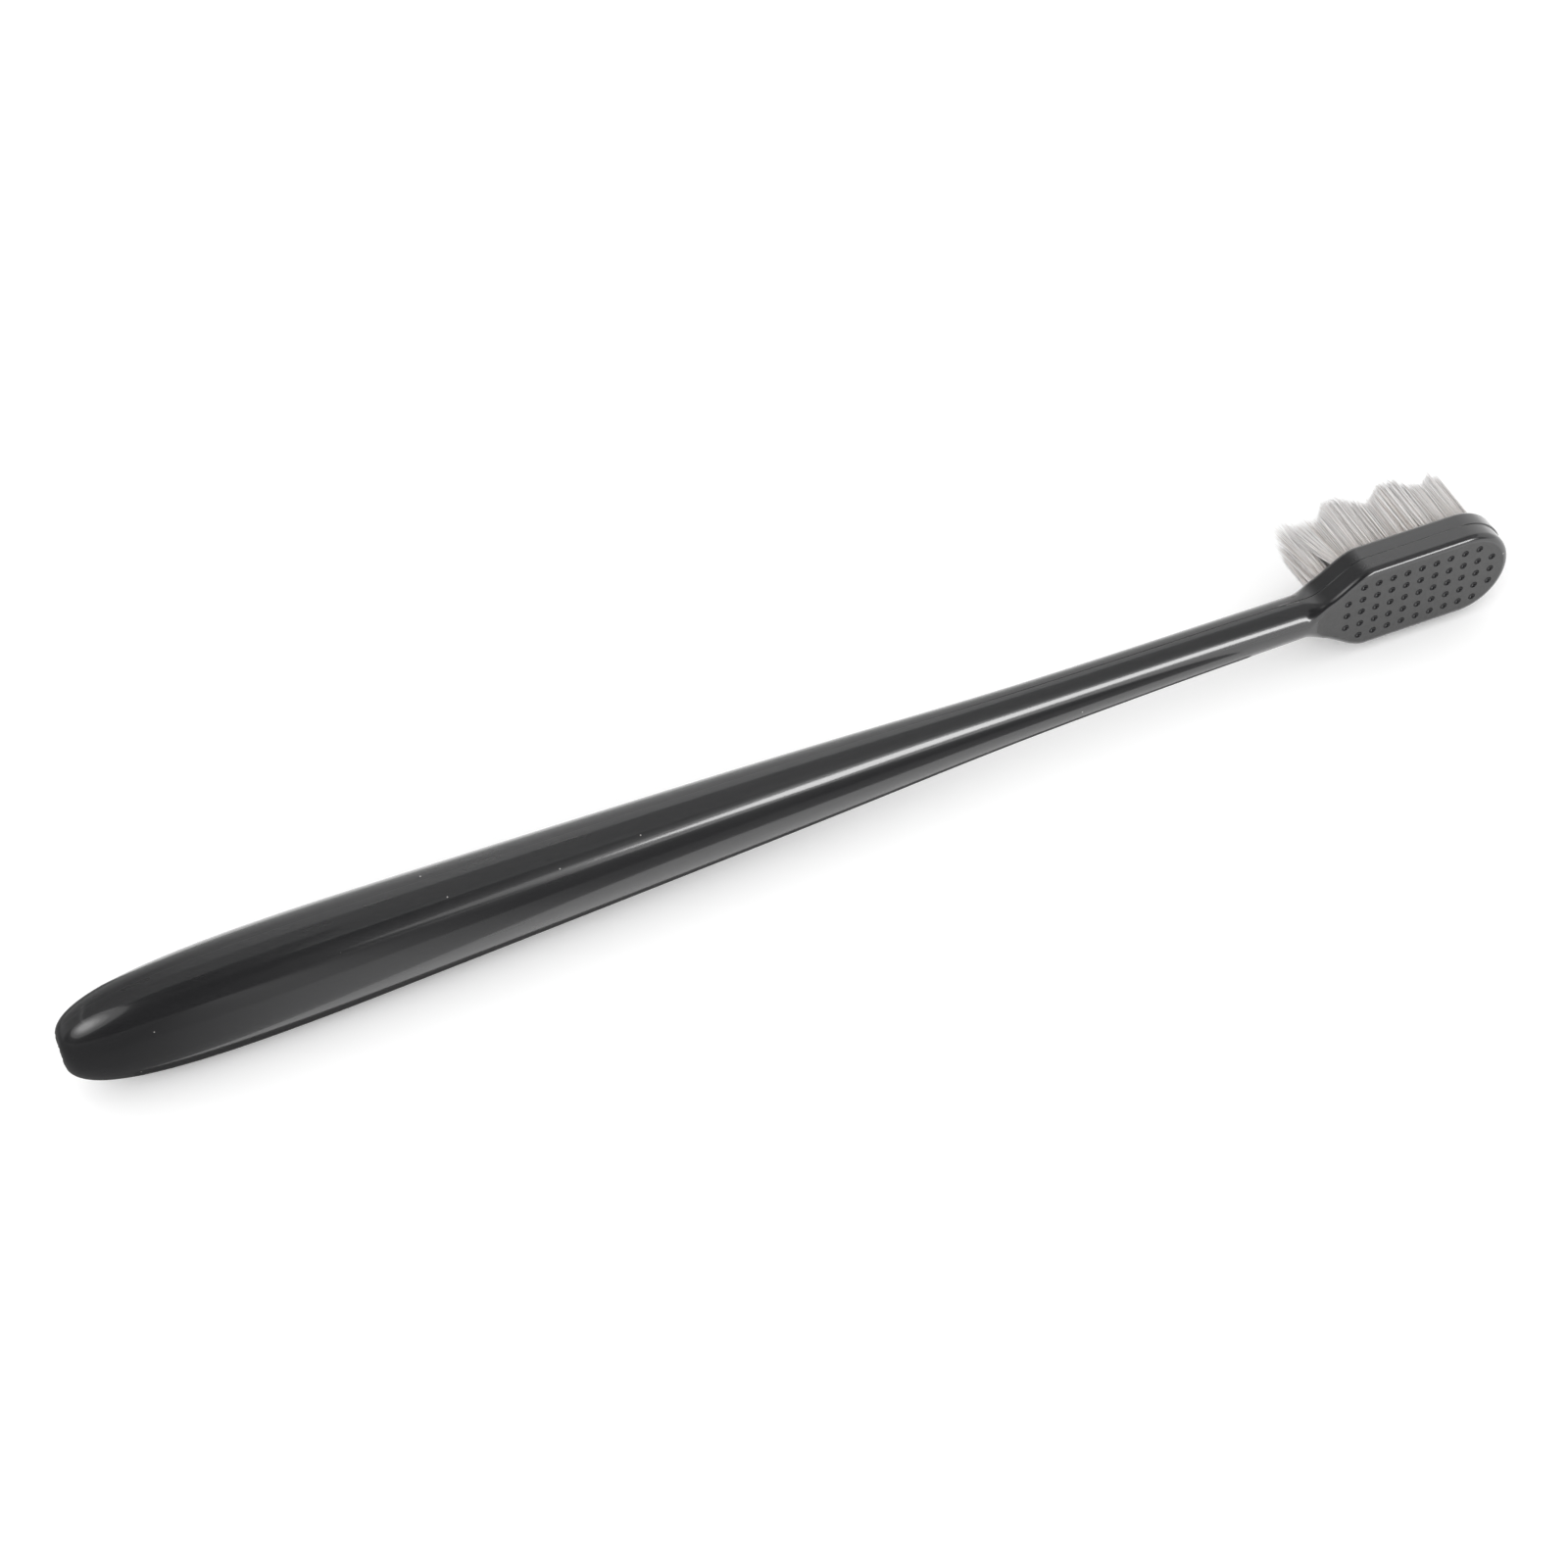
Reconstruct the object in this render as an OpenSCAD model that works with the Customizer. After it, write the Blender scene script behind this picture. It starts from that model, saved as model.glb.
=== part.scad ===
// Manual toothbrush: a one-piece moulded handle and head, with a wave-cut field of tufts.
// The brush is drawn with its bristles up, along X from the butt to the tip of the head, and with
// the back of the head at height zero. It is then laid on its side, the way it rests on a table.

/* [Handle] */
// Length from the cut butt to the start of the shoulder
handle_l = 156.3; // [120:0.1:190]
// Width across the grip, which the handle's outline follows
grip_w = 14.9; // [12:0.1:18]
// Thickness of the grip over its width
grip_flat_share = 0.685; // [0.6:0.005:0.9]
// Diameter of the round neck where it meets the shoulder
neck_d = 5.4; // [4.6:0.1:6.4]
// Diameter of the flat left where the moulding gate was cut off
gate_d = 3.1; // [2:0.1:5]
// How far the butt's centre lies behind the centre of the neck
handle_drop = 2.66; // [0:0.02:6]

/* [Head] */
// Width of the head
head_w = 12.6; // [12:0.1:16]
// Thickness of the head
head_t = 5; // [4.6:0.1:7]
// Length of the tapered shoulder between neck and head
shoulder_l = 7.4; // [5:0.1:12]
// Length of the head's straight sides
side_l = 13.2; // [12.8:0.1:20]
// Radius along the edge of the head's back
back_round = 0.85; // [0.4:0.05:1.2]
// Radius along the edge of the head's bristle side
front_round = 0.7; // [0.4:0.05:1.2]
// How far the bristle side's half stands out past the back's half at the tip
tip_step = 0.22; // [0:0.02:0.4]

/* [Dimples] */
// Diameter of a dimple at the back face
dimple_d = 0.95; // [0.8:0.05:1.2]
// Depth of a dimple
dimple_depth = 0.3; // [0.1:0.02:0.4]

/* [Tufts] */
// Distance between tuft centres, along and across the head
tuft_pitch = 2; // [1.9:0.02:2.1]
// Tufts in each of the three middle rows, two more than in an outer row
long_row = 11; // [9:2:11]
// Distance from the last tuft's centre to the tip of the head
end_land = 2.7; // [2.4:0.1:3.2]
// Diameter of a tuft's hole
hole_d = 1.6; // [1.5:0.02:1.64]
// Depth of a tuft's hole
hole_depth = 3.3; // [2.8:0.05:3.8]
// Radial clearance between a tuft's root and its hole
root_gap = 0.03; // [0.01:0.01:0.06]
// Free length of the filaments at the crest of the wave
crest_l = 10.1; // [8:0.1:13]
// Depth of the wave from crest to trough
wave_depth = 2.4; // [0:0.1:4]
// Distance between two crests
wave_pitch = 7.7; // [5:0.1:12]
// Distance from the middle of the tuft field to the crest nearest to it, towards the tip
crest_x = 3; // [-3:0.1:4]

/* [Filament strands] */
// Strands standing round the middle one of a tuft
ring_strands = 7; // [6:1:8]
// Width of a strand across its corners
strand_d = 0.34; // [0.2:0.02:0.36]
// How far a strand of the ring leans outwards over its length
splay_l = 0.2; // [0:0.02:0.24]

/* [Anchors] */
// Length of an anchor strip, longer than the hole is wide, so that it bites into the head
anchor_l = 2.1; // [1.8:0.05:2.2]
// Height of an anchor strip
anchor_h = 1.2; // [0.8:0.05:1.4]
// Thickness of an anchor strip
anchor_t = 0.22; // [0.15:0.01:0.3]
// Clearance round a strip
anchor_gap = 0.02; // [0.01:0.01:0.05]
// Height of the filament fold under a strip
fold_h = 0.45; // [0.3:0.05:0.7]

/* [Hidden] */
// Steps in one corner of a cross-section of the body
corner_steps = 10;
// Rings of the body along the butt, the tapered handle, the shoulder and the rounded tip
butt_rings = 12;
taper_rings = 18;
shoulder_rings = 14;
tip_rings = 12;
// The handle's half width follows two curves through these points, in shares of its length and
// of the grip's width: one round the butt, one from the grip to the neck
butt_shares = [[0, 0.449], [0.0715, 0.537], [0.2245, 0.4845]];
taper_shares = [[0.814, 0.281], [0.567, 0.264]];
// Where the section starts to turn from oval to round, as a share of the handle's length
round_from_share = 0.385;
// How sharply it turns round, and how the centre line bends back
round_power = 2.5;
drop_power = 1.37;
// The rims of the head start and are complete at these shares of the shoulder
rim_shares = [-0.18, 0.2];
// Flat strip along the middle of a section's back and front, over its half width
land_share = 0.03;
// Flat strip along its sides, over its half thickness: at the grip, which lies on it, and at the neck
side_land_shares = [0.17, 0.03];
// Strip along the parting line, over the half thickness
seam_share = 0.02;
// The strips stand at an angle to the rows, so that they miss the next hole
anchor_angle = 45;
// How deep a strand starts below the face of the head, and the root left round the strands
strand_root = 0.3;
root_land = 0.04;
// How far a cut runs past a face
overrun = 0.1;
row_count = 5;
strand_sides = 4;

head_r = head_w / 2;
mid_z = head_t / 2;
shoulder_x = handle_l + shoulder_l;
tip_x = shoulder_x + side_l;
back_tip_x = tip_x + head_r;
total_l = back_tip_x + tip_step;
field_x = back_tip_x - end_land - (long_row - 1) / 2 * tuft_pitch;
hole_floor_z = head_t - hole_depth;
anchor_z = hole_floor_z + fold_h;
root_d = hole_d - 2 * root_gap;
ring_r = (root_d - strand_d) / 2 - root_land;
middle_row = (row_count - 1) / 2;

function share_between(t, from, to) = min(max((t - from) / (to - from), 0), 1);
function ease(t) = t * t * (3 - 2 * t);
function mix(a, b, t) = a + (b - a) * t;
function bezier(p, t) =
    pow(1 - t, 3) * p[0] + 3 * pow(1 - t, 2) * t * p[1] + 3 * (1 - t) * t * t * p[2] + pow(t, 3) * p[3];

// Control points [place, half width] of the two curves
function at_size(share) = [share[0] * handle_l, share[1] * grip_w];
butt_points = concat([[0, gate_d / 2]], [for (s = butt_shares) at_size(s)]);
taper_points = concat([butt_points[3]], [for (s = taper_shares) at_size(s)], [[handle_l, neck_d / 2]]);

// A section of the body holds its place on the back's side and on the bristle side, its half
// width, its half thickness, the height of its centre, the corner radii [across, up] of the back
// and of the bristle side, and its turn round the tip
function centre_z(x) = mid_z - handle_drop * pow(max(1 - x / handle_l, 0), drop_power);
function oval_corner(half_w, half_t, roundness) =
    [half_w * (1 - land_share), half_t * (1 - mix(side_land_shares[0], side_land_shares[1], roundness))];
function handle_section(p) =
    let (
        roundness = pow(share_between(p[0] / handle_l, round_from_share, 1), round_power),
        half_t = p[1] * mix(grip_flat_share, 1, roundness),
        corner = oval_corner(p[1], half_t, roundness)
    )
    [[p[0], p[0]], p[1], half_t, centre_z(p[0]), [corner, corner], 0];
function shoulder_section(t) =
    let (
        x = handle_l + t * shoulder_l,
        rim = ease(share_between(t, rim_shares[0], rim_shares[1])),
        half_w = mix(neck_d / 2, head_r, ease(share_between(t, 0, 1))),
        half_t = mix(neck_d / 2, head_t / 2, rim),
        corner = oval_corner(half_w, half_t, 1),
        back = [back_round, back_round],
        front = [front_round, front_round]
    )
    [[x, x], half_w, half_t, centre_z(x), [mix(corner, back, rim), mix(corner, front, rim)], 0];
function tip_section(turn) =
    [
        [tip_x, tip_x + tip_step],
        head_r,
        head_t / 2,
        mid_z,
        [[back_round, back_round], [front_round, front_round]],
        turn,
    ];

sections = concat(
    [for (i = [0:butt_rings - 1]) handle_section(bezier(butt_points, i / butt_rings))],
    [for (i = [0:taper_rings - 1]) handle_section(bezier(taper_points, i / taper_rings))],
    [for (i = [0:shoulder_rings]) shoulder_section(mix(rim_shares[0], 1, i / shoulder_rings))],
    [for (i = [0:tip_rings]) tip_section(90 * i / tip_rings)]
);

// A point of a section, from its distance across and its height over the section's centre
function section_point(s, front, across, up) =
    [s[0][front] + abs(across) * sin(s[5]), across * cos(s[5]), s[3] + up];
function corner_points(s, front, side) =
    let (r = s[4][front], up = front == 1 ? 1 : -1)
    [
        for (j = [0:corner_steps])
            let (step = side == up ? j : corner_steps - j, a = 90 * step / corner_steps)
            section_point(s, front, side * (s[1] - r[0] * (1 - cos(a))), up * (s[2] - r[1] * (1 - sin(a))))
    ];
function outline(s) =
    let (seam = seam_share * s[2])
    concat(
        [section_point(s, 1, s[1], seam)],
        corner_points(s, 1, 1),
        corner_points(s, 1, -1),
        [section_point(s, 1, -s[1], seam), section_point(s, 0, -s[1], -seam)],
        corner_points(s, 0, -1),
        corner_points(s, 0, 1),
        [section_point(s, 0, s[1], -seam)]
    );

ring_n = len(outline(sections[0]));
last_ring = len(sections) - 1;
// At the very tip both sides of the ring meet, so a point on the far side is its near twin
function twin(i) =
    let (half = ring_n / 2, quarter = ring_n / 4)
    i < quarter || i >= half + quarter ? i : i < half ? half - 1 - i : half + ring_n - 1 - i;
function point_index(ring, i) = ring * ring_n + (ring == last_ring ? twin(i % ring_n) : i % ring_n);
function wall_triangles(ring, i) =
    let (
        a = point_index(ring, i),
        b = point_index(ring, i + 1),
        c = point_index(ring + 1, i + 1),
        d = point_index(ring + 1, i)
    )
    concat([[a, b, c]], c == d ? [] : [[a, c, d]]);
body_points = [for (s = sections) each outline(s)];
// The butt's flat starts at the point next to the middle of the bristle side
butt_face = [for (i = [0:ring_n - 1]) (corner_steps + 1 + ring_n - i) % ring_n];
body_faces = concat(
    [butt_face],
    [for (ring = [0:last_ring - 1]) for (i = [0:ring_n - 1]) each wall_triangles(ring, i)]
);

// Tufts stand in straight rows, and the two outer rows are one tuft shorter at each end
function is_outer(row) = row == 0 || row == row_count - 1;
function row_length(row) = is_outer(row) ? long_row - 2 : long_row;
function tuft_at(row, column) =
    [
        field_x + (column - (row_length(row) - 1) / 2) * tuft_pitch,
        (row - middle_row) * tuft_pitch,
        0,
    ];
function tuft_name(row, column) = str("tuft_", "abcde"[row], column < 9 ? "0" : "", column + 1);
all_tufts = [for (row = [0:row_count - 1]) for (column = [0:row_length(row) - 1]) [row, column]];

// Height of the cut filament ends, which wave along the head
function wave_z(x) =
    head_t + crest_l - wave_depth * (1 - cos(360 * (x - field_x - crest_x) / wave_pitch)) / 2;

// The two ends of a strand: the last one stands in the middle of the tuft
function strand_ends(row, column, i) =
    let (
        a = 360 * i / ring_strands,
        out = i < ring_strands ? [cos(a), sin(a), 0] : [0, 0, 0],
        foot = tuft_at(row, column) + ring_r * out,
        tip = foot + splay_l * out
    )
    [foot + [0, 0, head_t - strand_root], tip + [0, 0, wave_z(tip[0])]];

// Resting place: the grip's widest point touches the table, and the bristles point along Y
back_heights = [for (s = sections) s[3] - s[2]];
tip_heights = [for (t = all_tufts) for (i = [0:ring_strands]) strand_ends(t[0], t[1], i)[1][2]];
rest_z = max([for (s = sections) s[1]]);
middle_y = (min(back_heights) + max(tip_heights)) / 2;

module lay_on_side() {
    translate([-total_l / 2, -middle_y, rest_z])
        rotate([-90, 0, 0])
            children();
}

module at_tuft(row, column) {
    translate(tuft_at(row, column))
        children();
}

// A straight rod with few sides from one point to another
module rod(from, to, d, sides) {
    way = to - from;
    translate(from)
        rotate([0, acos(way[2] / norm(way)), atan2(way[1], way[0])])
            cylinder(h = norm(way), d = d, $fn = sides);
}

// A pit shaped like a ball's cap, sunk into the back of the head
module dimple() {
    ball_r = (pow(dimple_d / 2, 2) + pow(dimple_depth, 2)) / (2 * dimple_depth);
    translate([0, 0, dimple_depth - ball_r])
        sphere(r = ball_r, $fn = 32);
}

module anchor(gap) {
    translate([0, 0, anchor_z])
        rotate([0, 0, anchor_angle])
            translate([-anchor_l / 2 - gap, -anchor_t / 2 - gap, 0])
                cube([anchor_l + 2 * gap, anchor_t + 2 * gap, anchor_h + gap]);
}

// Handle, neck and head are one moulding, drilled for the tufts and dimpled on the back
module brush_body() {
    color([0.16, 0.16, 0.17])
        lay_on_side()
            difference() {
                polyhedron(points = body_points, faces = body_faces, convexity = 6);
                for (t = all_tufts)
                    at_tuft(t[0], t[1]) {
                        translate([0, 0, hole_floor_z])
                            cylinder(h = hole_depth + overrun, d = hole_d, $fn = 32);
                        anchor(anchor_gap);
                        dimple();
                    }
            }
}

// Metal strips that hold the folded tufts down in their holes
module anchor_strips() {
    color([0.78, 0.66, 0.38])
        lay_on_side()
            for (t = all_tufts)
                at_tuft(t[0], t[1])
                    anchor(0);
}

// A tuft: its pressed root, folded under the strip, and the strands that stand out of it
module tuft(row, column) {
    color([0.74, 0.72, 0.7])
        lay_on_side()
            union() {
                at_tuft(row, column)
                    difference() {
                        translate([0, 0, hole_floor_z])
                            cylinder(h = hole_depth, d = root_d, $fn = 32);
                        anchor(anchor_gap);
                    }
                for (i = [0:ring_strands]) {
                    ends = strand_ends(row, column, i);
                    rod(ends[0], ends[1], strand_d, strand_sides);
                }
            }
}

brush_body();
anchor_strips();
for (t = all_tufts)
    tuft(t[0], t[1]);
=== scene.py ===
# %% [markdown]
# # A manual toothbrush
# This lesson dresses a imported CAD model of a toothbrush. The brush is a slim dark moulding with a
# wave-cut field of pale bristles. The CAD model already has the right place and size, so it is
# loaded first as a fixed frame, and every new piece is worked out in the same coordinates.
# The alternative, modelling by eye and scaling at the end, would lose the fit between the pieces.

import bmesh
import bpy
import numpy as np
from mathutils import Matrix, Vector
from mathutils.geometry import tessellate_polygon


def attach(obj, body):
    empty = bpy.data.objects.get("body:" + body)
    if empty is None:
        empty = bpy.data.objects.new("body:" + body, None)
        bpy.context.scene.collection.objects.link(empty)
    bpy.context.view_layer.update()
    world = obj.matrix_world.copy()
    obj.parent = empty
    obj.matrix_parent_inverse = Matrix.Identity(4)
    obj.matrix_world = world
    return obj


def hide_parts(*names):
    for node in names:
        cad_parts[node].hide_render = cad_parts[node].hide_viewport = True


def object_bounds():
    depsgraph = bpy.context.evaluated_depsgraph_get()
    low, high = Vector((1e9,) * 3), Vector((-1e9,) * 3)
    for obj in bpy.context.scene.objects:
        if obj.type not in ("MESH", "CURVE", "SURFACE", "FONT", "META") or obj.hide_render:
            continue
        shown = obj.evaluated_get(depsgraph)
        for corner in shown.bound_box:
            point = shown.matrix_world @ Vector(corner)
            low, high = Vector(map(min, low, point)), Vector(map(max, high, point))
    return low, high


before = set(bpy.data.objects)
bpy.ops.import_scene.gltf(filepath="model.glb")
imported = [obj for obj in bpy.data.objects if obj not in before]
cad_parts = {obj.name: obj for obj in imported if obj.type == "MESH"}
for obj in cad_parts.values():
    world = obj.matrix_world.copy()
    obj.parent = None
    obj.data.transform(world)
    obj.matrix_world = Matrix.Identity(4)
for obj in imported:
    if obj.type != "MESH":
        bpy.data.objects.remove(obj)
cad_low, cad_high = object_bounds()
print("the packed part measures", [round(v * 1000, 2) for v in cad_high - cad_low], "mm")

# %% [markdown]
# ## The camera
# The photograph looks down on the brush from the butt's side, through a fairly long lens. The
# camera could be placed by eye, but the regular grid of dimples on the head's back gives its place
# and its turn exactly, so they are written down here as one point and two directions.

# %% The photograph's camera
eye = Vector((-0.090751, -0.233698, 0.277412))
looking = Vector((0.2364, 0.632903, -0.737258)).normalized()
upwards = Vector((0.309093, 0.670366, 0.674589))
sideways = looking.cross(upwards).normalized()
upwards = sideways.cross(looking)

camera = bpy.data.objects.new("camera", bpy.data.cameras.new("camera"))
camera.data.lens = 72
camera.data.sensor_width = 36
camera.data.clip_start = 0.01
facing = Matrix((sideways, upwards, -looking)).transposed().to_4x4()
camera.matrix_world = Matrix.Translation(eye) @ facing
bpy.context.scene.collection.objects.link(camera)
bpy.context.scene.camera = camera
print("the camera stands", round(eye.length * 1000), "mm from the middle of the brush")

# %% [markdown]
# ## The brush's own measures
# The moulding is drawn as its designer would draw it: in millimetres, bristles up, with x from the
# cut butt to the tip, y across and z up from the back of the head. The same few numbers as in the
# CAD source give its outline, so the finer surface made here lies on the coarser solid.

# %% Measures, in millimetres
# Handle: length, width of the grip, its thickness over its width, the round neck, the cut at the
# butt, and how far the butt's middle lies below the head's
handle_l, grip_w, grip_flat, neck_d, gate_d, drop = 156.3, 14.9, 0.685, 5.4, 3.1, 2.66
# Head: width, thickness, shoulder and straight side, the two rims, and the step round the tip
head_w, head_t, shoulder_l, side_l = 12.6, 5.0, 7.4, 13.2
back_round, front_round, tip_step = 0.85, 0.7, 0.22
# Tufts: in each row, from one to the next, from the last to the tip, and the holes they stand in
row_lengths = (9, 11, 11, 11, 9)
tuft_pitch, end_land, hole_d = 2.0, 2.7, 1.6
# Bristles: length at a crest, depth and pitch of the wave, and a crest's place in the field
crest_l, wave_depth, wave_pitch, crest_x = 10.1, 2.4, 7.7, 3.0

head_r, mid_z = head_w / 2, head_t / 2
shoulder_x = handle_l + shoulder_l
tip_x = shoulder_x + side_l
back_tip_x = tip_x + head_r
total_l = back_tip_x + tip_step
field_x = back_tip_x - end_land - (max(row_lengths) - 1) / 2 * tuft_pitch
print("the brush is", round(total_l, 2), "mm long")
print("its field of tufts is centred", round(field_x, 2), "mm from the butt")


# %% Curves that the sections follow
def ease(t):
    """Three t squared less two t cubed: leaves 0 and reaches 1 without a kink."""
    return t * t * (3 - 2 * t)


def mix(a, b, t):
    """The value a share t of the way from a to b."""
    return a + (b - a) * t


def bezier(points, t):
    """Four control points weighted by the cubic Bernstein terms of t."""
    t = t[:, None]
    weights = (1 - t) ** 3, 3 * (1 - t) ** 2 * t, 3 * (1 - t) * t * t, t**3
    return sum(weight * np.asarray(point, float) for weight, point in zip(weights, points))


def centre_height(x):
    """Half the head's thickness, less the drop times (1 - x / length) to the power 1.37."""
    return mid_z - drop * np.clip(1 - x / handle_l, 0, None) ** 1.37


# Half the handle's width along it, as two curves that meet where the grip begins to taper
butt_curve = [
    (0, gate_d / 2),
    (0, 0.449 * grip_w),
    (0.0715 * handle_l, 0.537 * grip_w),
    (0.2245 * handle_l, 0.4845 * grip_w),
]
taper_curve = [
    butt_curve[3],
    (0.814 * handle_l, 0.281 * grip_w),
    (0.567 * handle_l, 0.264 * grip_w),
    (handle_l, neck_d / 2),
]
print("the grip begins to taper", round(taper_curve[0][0], 1), "mm from the butt")

# %% [markdown]
# ## One surface from butt to tip
# On the real brush the handle, neck and head are a single moulding, so here they are one loft. Each
# section is a rectangle with rounded corners. Along the handle the corners are nearly as large as
# the section, which makes an oval; along the shoulder they shrink to the small rims of the head.
# Boxes and a subdivision modifier could give a similar form, but not these exact outlines.


# %% Sections along the moulding
oval_share = 0.97  # how much of the half width a corner takes where the section is an oval
side_strips = 0.1, 0.03  # share of the half thickness left flat, at the grip and at the neck
round_from = 0.385  # share of the handle after which it begins to turn round
rim_start, rim_end = -0.18, 0.2  # shares of the shoulder between which the rims form


def handle_sections(curve, steps):
    """Half widths on the curve. The thickness is that times a share that is 1 at the neck."""
    x, half_w = bezier(curve, np.linspace(0, 1, steps + 1)[:-1]).T
    roundness = np.clip((x / handle_l - round_from) / (1 - round_from), 0, 1) ** 2.5
    half_t = half_w * mix(grip_flat, 1, roundness)
    corner = np.stack([half_w * oval_share, half_t * (1 - mix(*side_strips, roundness))], 1)
    return x, x, half_w, half_t, centre_height(x), corner, corner, 0 * x


def shoulder_sections(t):
    """Widths ease from the neck's to the head's, while the corners ease from oval to the rims."""
    x = handle_l + t * shoulder_l
    rim = ease(np.clip((t - rim_start) / (rim_end - rim_start), 0, 1))
    half_w = mix(neck_d / 2, head_r, ease(np.clip(t, 0, 1)))
    half_t = mix(neck_d / 2, mid_z, rim)
    oval = np.stack([half_w, half_t], 1) * oval_share
    back, front = (mix(oval, r, rim[:, None]) for r in (back_round, front_round))
    return x, x, half_w, half_t, centre_height(x), back, front, 0 * x


def tip_sections(steps):
    """The last section, turned about an upright line in steps up to a quarter turn."""
    turn = np.linspace(0, np.pi / 2, steps + 1)
    one = np.ones_like(turn)
    corner = np.ones((len(turn), 2))
    places = tip_x * one, (tip_x + tip_step) * one
    halves = head_r * one, mid_z * one, mid_z * one
    return *places, *halves, back_round * corner, front_round * corner, turn


# %% All sections in one list
butt_steps, taper_steps, rim_steps, shoulder_steps, tip_steps = 48, 90, 18, 32, 40
rims_forming = np.linspace(rim_start, rim_end, rim_steps + 1)[:-1]
rims_formed = np.linspace(rim_end, 1, shoulder_steps + 1)
parts = [
    handle_sections(butt_curve, butt_steps),
    handle_sections(taper_curve, taper_steps),
    shoulder_sections(np.concatenate([rims_forming, rims_formed])),
    tip_sections(tip_steps),
]
columns = [np.concatenate(column) for column in zip(*parts)]
x_back, x_front, half_w, half_t, centre_z, back_corner, front_corner, turn = columns
handle_steps = butt_steps + taper_steps
plate_start = handle_steps + rim_steps
rest_z = half_w.max()
middle_y = (centre_z - half_t).min() + (cad_high.y - cad_low.y) * 1000 / 2
print(len(half_w), "sections; the widest is", round(2 * rest_z, 2), "mm")

# %% [markdown]
# ## The parting line
# The two halves of the mould leave a fine line round the whole brush. It is cut into the surface as
# a small V, so that it shades itself from every side; a painted line would look flat up close. It
# is hardly there along the polished grip and deepest round the head. At the tip the half with the
# bristles stands out a little further than the back's half.

# %% Points of one section
corner_steps = 20
groove_half = 0.055
groove_deep = mix(0.008, 0.11, ease(np.clip((x_back - 95) / 50, 0, 1)))  # grip, head
groove_lift = np.array([1.8, 1, 0.45, 0, -0.45, -1, -1.8]) * groove_half
groove_inset = np.array([0, 0, 0.6, 1, 0.6, 0, 0])
front_edge = corner_steps  # the point of a lap where the flat of the bristles' side begins
back_edge = 3 * corner_steps + 2 + len(groove_lift)  # and where the flat of the back begins


def section_points(steps):
    """One lap round a section. For each point: its half (1 is the bristles' side), its side, its
    angle in the corner, its lift in the groove, its share of the groove's depth, and whether it
    is in the groove."""
    a = np.linspace(0, np.pi / 2, steps + 1)
    lift, inset = groove_lift, groove_inset
    upper = (np.arange(len(lift)) < len(lift) // 2).astype(float)
    seam = np.concatenate([0 * a, 0 * a, lift * 0 + 1])
    half = np.concatenate([0 * a + 1, 0 * a + 1, upper, 0 * a, 0 * a, upper[::-1]])
    side = np.concatenate([0 * a + 1, 0 * a - 1, lift * 0 - 1, 0 * a - 1, 0 * a + 1, lift * 0 + 1])
    angle = np.concatenate([a, a[::-1], lift * 0, a, a[::-1], lift * 0])
    lifts = np.concatenate([0 * a, 0 * a, lift, 0 * a, 0 * a, lift[::-1]])
    insets = np.concatenate([0 * a, 0 * a, inset, 0 * a, 0 * a, inset])
    return half.astype(int), side, angle, lifts, insets, np.concatenate([seam, seam]) > 0


print("the groove is up to", round(groove_deep.max(), 2), "mm deep")


# %% Points of the whole moulding
def moulding_points():
    """Corner points lie on a quarter of an ellipse in the section's corner, and the section is then
    turned about z by its own turn."""
    half, side, angle, lift, inset, in_groove = section_points(corner_steps)
    corner = np.where(half[None, :, None] == 1, front_corner[:, None, :], back_corner[:, None, :])
    up = (half * 2 - 1) * (half_t[:, None] - corner[..., 1] * (1 - np.sin(angle)))
    out = half_w[:, None] - corner[..., 0] * (1 - np.cos(angle))
    up = np.where(in_groove, lift, up)
    out = np.where(in_groove, half_w[:, None] - groove_deep[:, None] * inset, out)
    x = np.where(half == 1, x_front[:, None], x_back[:, None]) + out * np.sin(turn)[:, None]
    return np.stack([x, side * out * np.cos(turn)[:, None], centre_z[:, None] + up], 2)


moulding = moulding_points()
rows, ring_n = moulding.shape[:2]
tear = np.array([0.3, 0.3, 0.24, 0.1])[:, None]  # mm that the first sections are torn back at most
torn = np.random.default_rng(7).random((len(tear), ring_n)) ** 2 * tear
moulding[: len(tear), :, 0] += (torn + np.roll(torn, 1, axis=1)) / 2
moulding[..., 2] = np.maximum(moulding[..., 2], cad_low.y * 1000 + middle_y)
print("the moulding's grid is", rows, "by", ring_n)


# %% Helpers that turn numpy arrays into Blender meshes
def lay_on_side(points):
    """Drawing to scene, in metres: x less half the length, z less middle_y, and rest_z less y."""
    x, y, z = np.moveaxis(np.asarray(points, float), -1, 0)
    return np.stack([x - total_l / 2, z - middle_y, rest_z - y], -1) * 0.001


def grid_faces(rows, columns, closed=True):
    """Four-sided faces between neighbouring rows and columns of a grid. Where it is closed, the
    last column joins the first."""
    across = np.arange(columns if closed else columns - 1)
    r, c = np.meshgrid(np.arange(rows - 1) * columns, across, indexing="ij")
    n = (c + 1) % columns
    return np.stack([r + c, r + n, r + columns + n, r + columns + c], 2).reshape(-1, 4)


def make_piece(name, points, faces, materials=(), face_material=None):
    """A smooth mesh object whose place is in its points, given in the drawing's millimetres."""
    mesh = bpy.data.meshes.new(name)
    mesh.from_pydata(lay_on_side(points).reshape(-1, 3).tolist(), [], faces)
    mesh.validate()
    for material in materials:
        mesh.materials.append(material)
    if face_material is not None:
        mesh.polygons.foreach_set("material_index", np.asarray(face_material, np.int32))
    mesh.polygons.foreach_set("use_smooth", np.ones(len(mesh.polygons), bool))
    mesh.update()
    piece = bpy.data.objects.new(name, mesh)
    bpy.context.scene.collection.objects.link(piece)
    print(name, "has", len(mesh.polygons), "faces")
    return piece


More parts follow.
